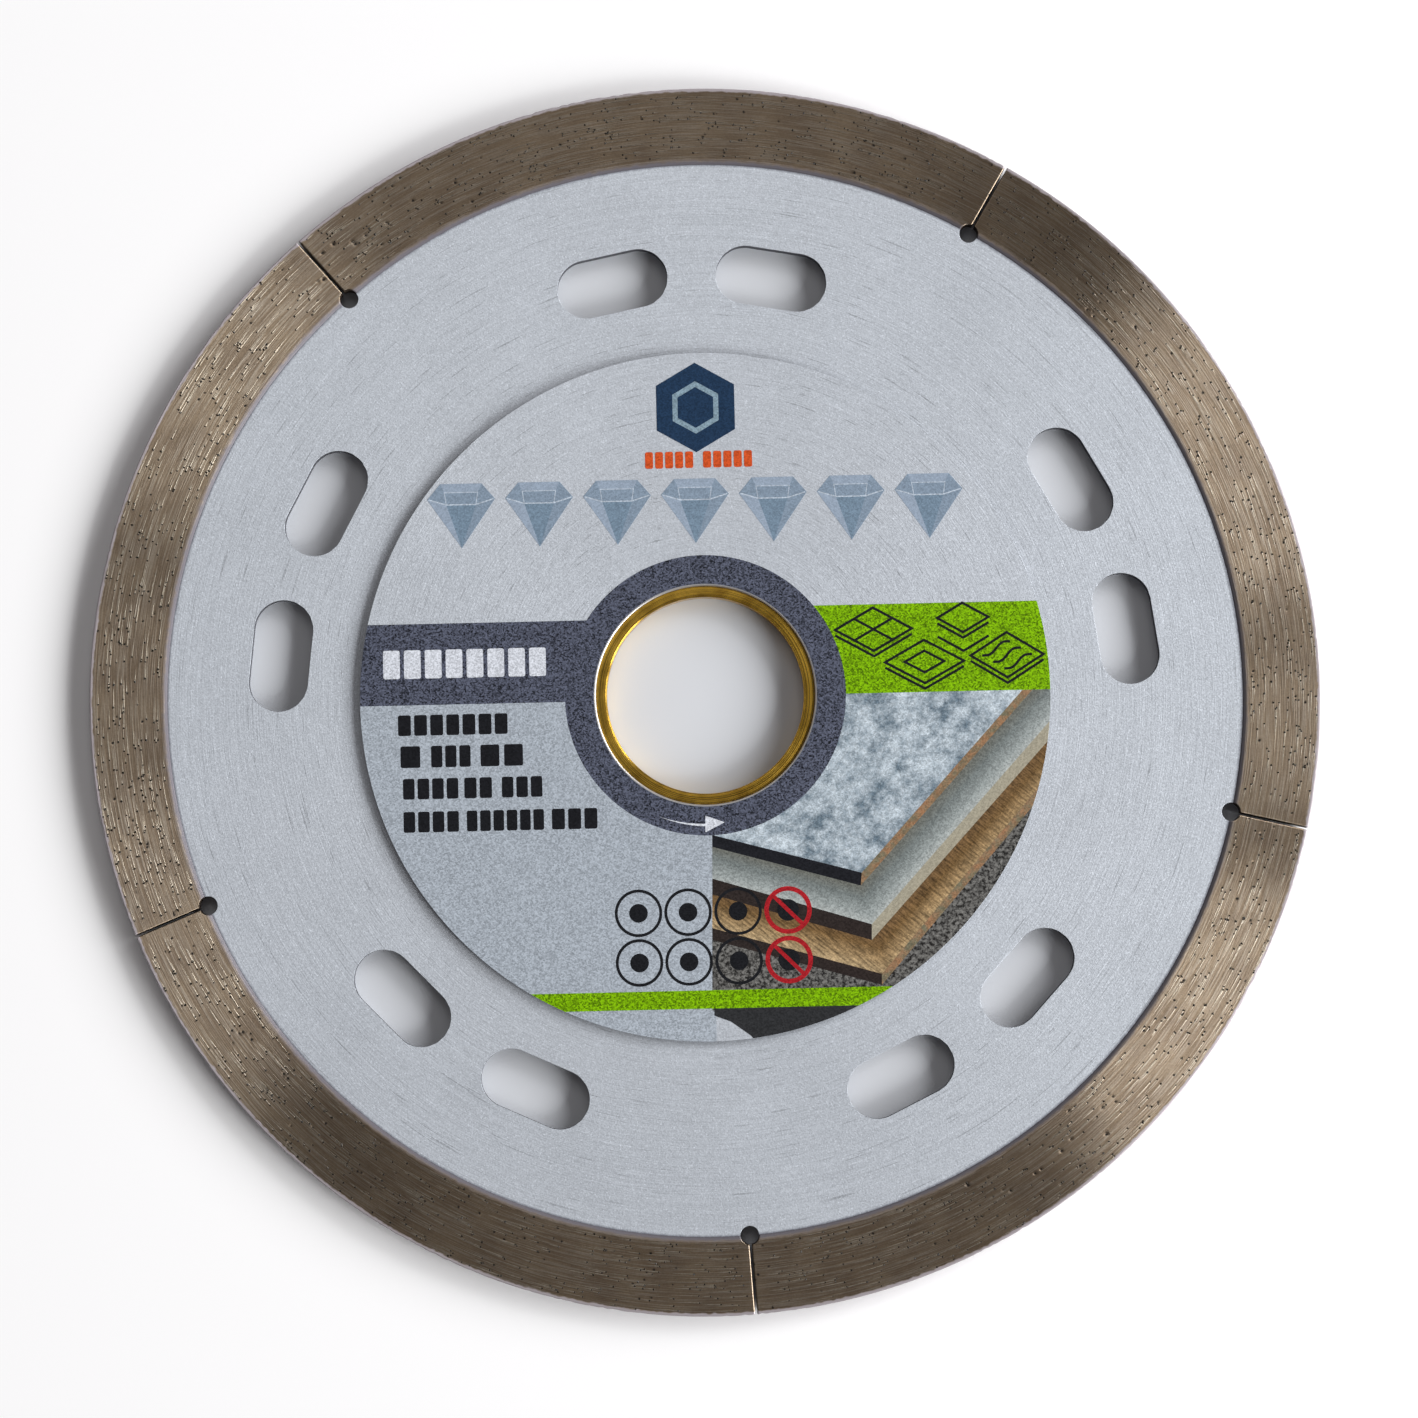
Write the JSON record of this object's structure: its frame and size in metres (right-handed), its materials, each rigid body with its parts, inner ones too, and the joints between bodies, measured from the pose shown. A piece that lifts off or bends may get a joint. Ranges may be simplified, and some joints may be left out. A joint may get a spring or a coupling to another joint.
{
  "type": "diamond cutting disc",
  "caption": "Flat steel cutting disc with a slit diamond rim, cooling slots, a raised hub and a loose reducing ring, for cutting ceramic tile with an angle grinder.",
  "frame": {"origin": "middle of the bore, at mid-thickness of the disc", "axes": "+Z along the arbor, out of the printed face; +Y towards the row of gem marks; the disc lies flat in X and Y"},
  "size_m": [0.125, 0.125, 0.0024],
  "materials": {
    "painted_steel": "satin silver-grey paint over a finely ground steel surface",
    "diamond_bond": "ground sintered bronze bond, pitted where the grit sits",
    "brass": "turned and lightly polished",
    "print": "satin pad-printed ink"
  },
  "bodies": {
    "blade": {"core_disc": "painted_steel", "rim_segment_1": "diamond_bond", "rim_segment_2": "diamond_bond", "rim_segment_3": "diamond_bond", "rim_segment_4": "diamond_bond", "rim_segment_5": "diamond_bond", "front_hub_plate": "painted_steel", "rear_hub_plate": "painted_steel", "printed_label": "print"},
    "ring": {"reducing_ring": "brass"}
  },
  "joints": [
    {"name": "ring_push_out", "type": "slide", "parent": "blade", "child": "ring", "axis": [0, 0, 1], "range_m": [0, 0.01]}
  ]
}
